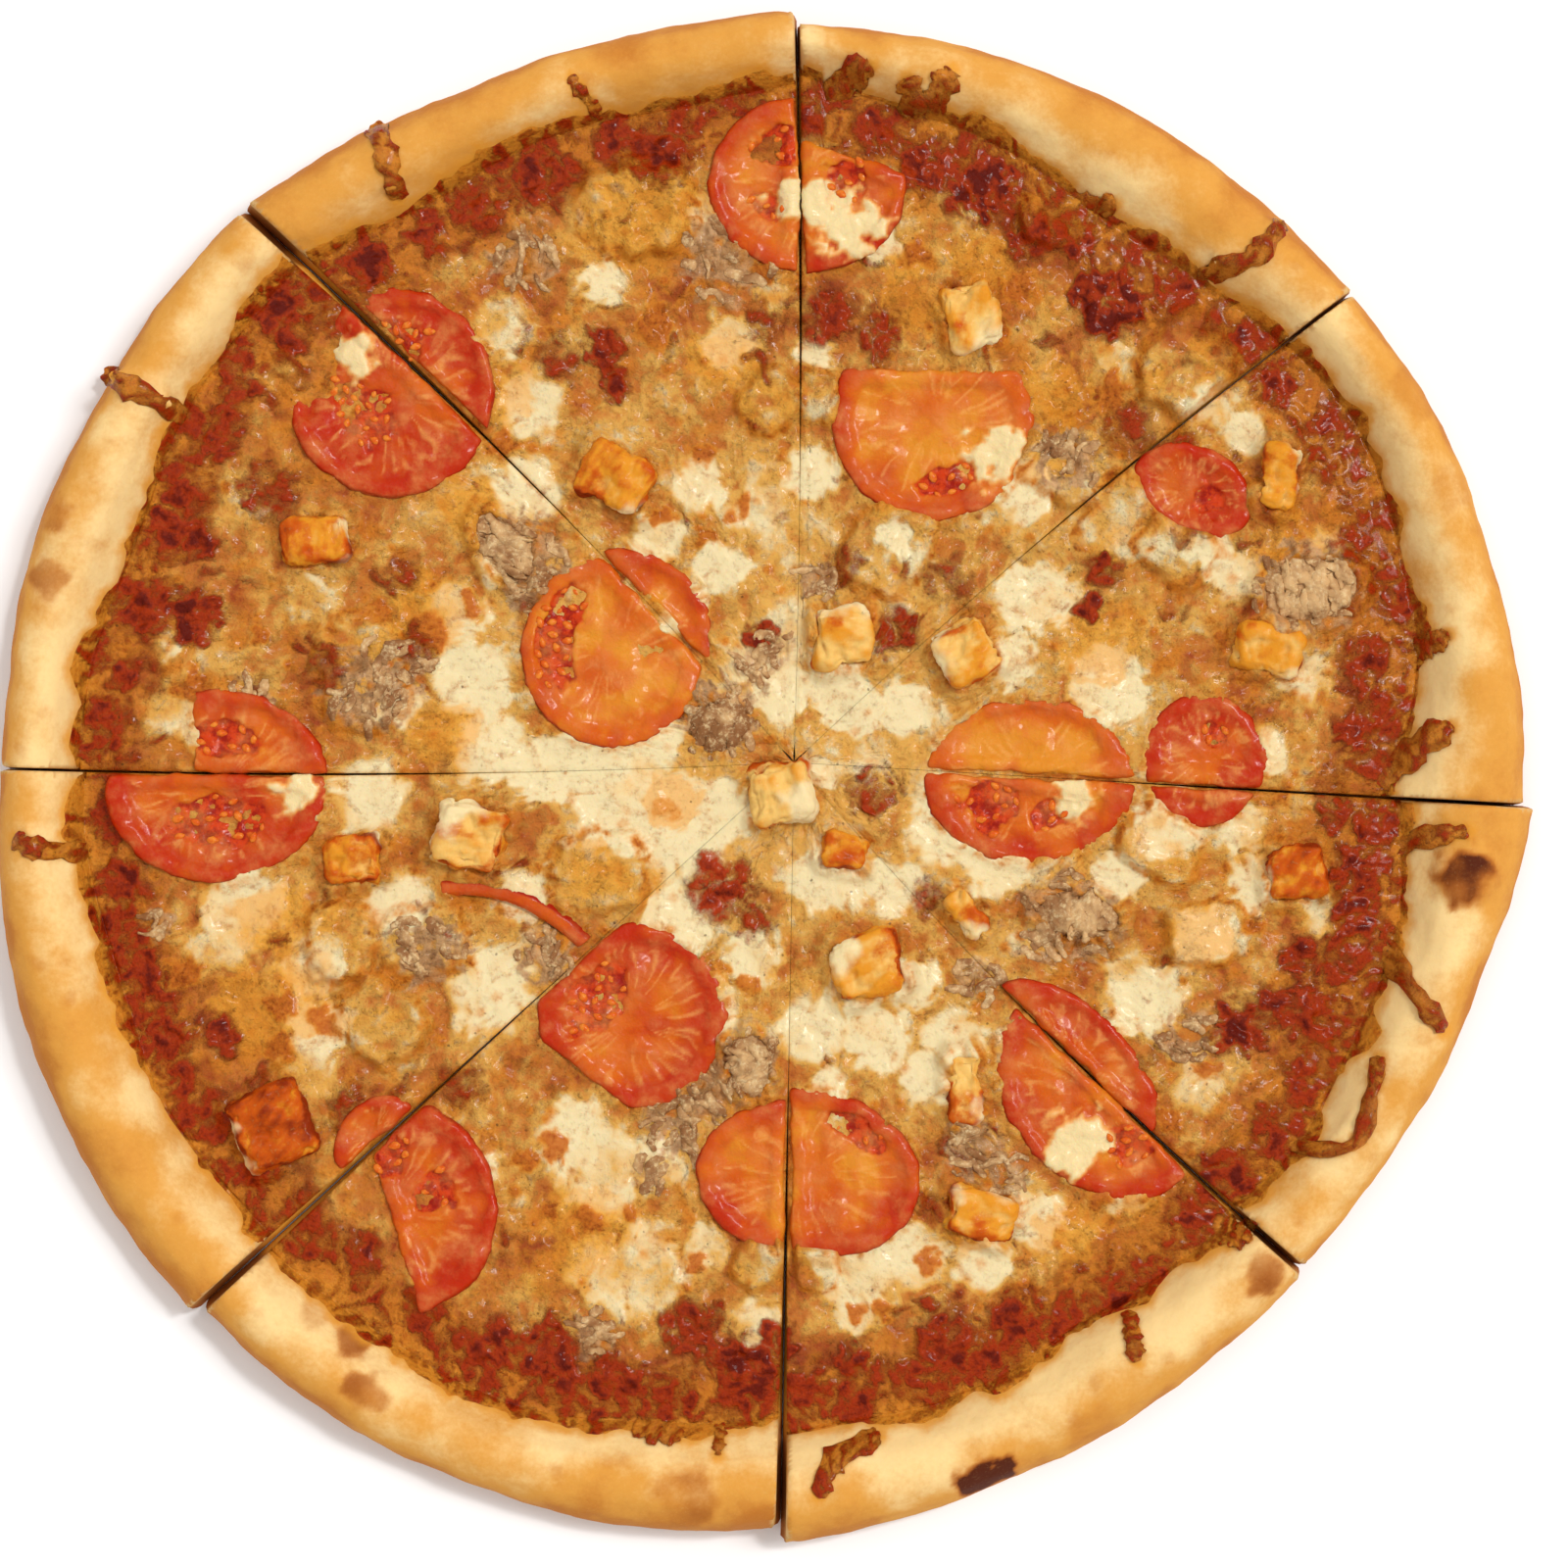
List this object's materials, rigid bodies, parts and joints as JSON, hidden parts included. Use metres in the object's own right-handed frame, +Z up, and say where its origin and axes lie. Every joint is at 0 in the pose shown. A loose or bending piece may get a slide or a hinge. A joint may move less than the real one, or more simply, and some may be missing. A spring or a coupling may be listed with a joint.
{
  "type": "sliced chicken and tomato pizza",
  "caption": "Round baked pizza with a puffed rim, melted cheese, tomato slices, chicken and shredded meat, cut in wedges that still lie together.",
  "frame": {"origin": "on the surface the pizza rests on, under the middle of its outline", "axes": "+Z up through the pizza, +X to the right and +Y to the top of the pizza seen from above"},
  "size_m": [0.3512, 0.3502, 0.0233],
  "materials": {
    "crust": "baked bread dough, dry and floury, golden brown",
    "cheese": "melted cheese over tomato sauce, oily, with toasted spots",
    "tomato": "baked tomato slice, wet, with skin, flesh and seeds",
    "chicken": "roast chicken chunk, golden, with browned edges",
    "meat": "shredded cooked meat, grey brown and fibrous"
  },
  "bodies": {
    "root": {"dough_1": "crust", "dough_2": "crust", "dough_3": "crust", "dough_4": "crust", "dough_5": "crust", "dough_6": "crust", "dough_7": "crust", "dough_8": "crust", "cheese_1": "cheese", "cheese_2": "cheese", "cheese_3": "cheese", "cheese_4": "cheese", "cheese_5": "cheese", "cheese_6": "cheese", "cheese_7": "cheese", "cheese_8": "cheese", "tomato_1a": "tomato", "tomato_1b": "tomato", "tomato_2a": "tomato", "tomato_2b": "tomato", "tomato_3": "tomato", "tomato_4a": "tomato", "tomato_4b": "tomato", "tomato_5": "tomato", "tomato_6a": "tomato", "tomato_6b": "tomato", "tomato_7a": "tomato", "tomato_7b": "tomato", "tomato_8a": "tomato", "tomato_8b": "tomato", "tomato_9": "tomato", "tomato_10a": "tomato", "tomato_10b": "tomato", "tomato_11a": "tomato", "tomato_11b": "tomato", "tomato_12a": "tomato", "tomato_12b": "tomato", "tomato_skin": "tomato", "chicken_1": "chicken", "chicken_2": "chicken", "chicken_3": "chicken", "chicken_4": "chicken", "chicken_5": "chicken", "chicken_6": "chicken", "chicken_7": "chicken", "chicken_8": "chicken", "chicken_9": "chicken", "chicken_10": "chicken", "chicken_11": "chicken", "chicken_12": "chicken", "chicken_13": "chicken", "chicken_14": "chicken", "chicken_15": "chicken", "chicken_16": "chicken", "chicken_17": "chicken", "meat_1": "meat", "meat_2": "meat", "meat_3": "meat", "meat_4": "meat", "meat_5": "meat"}
  },
  "joints": []
}
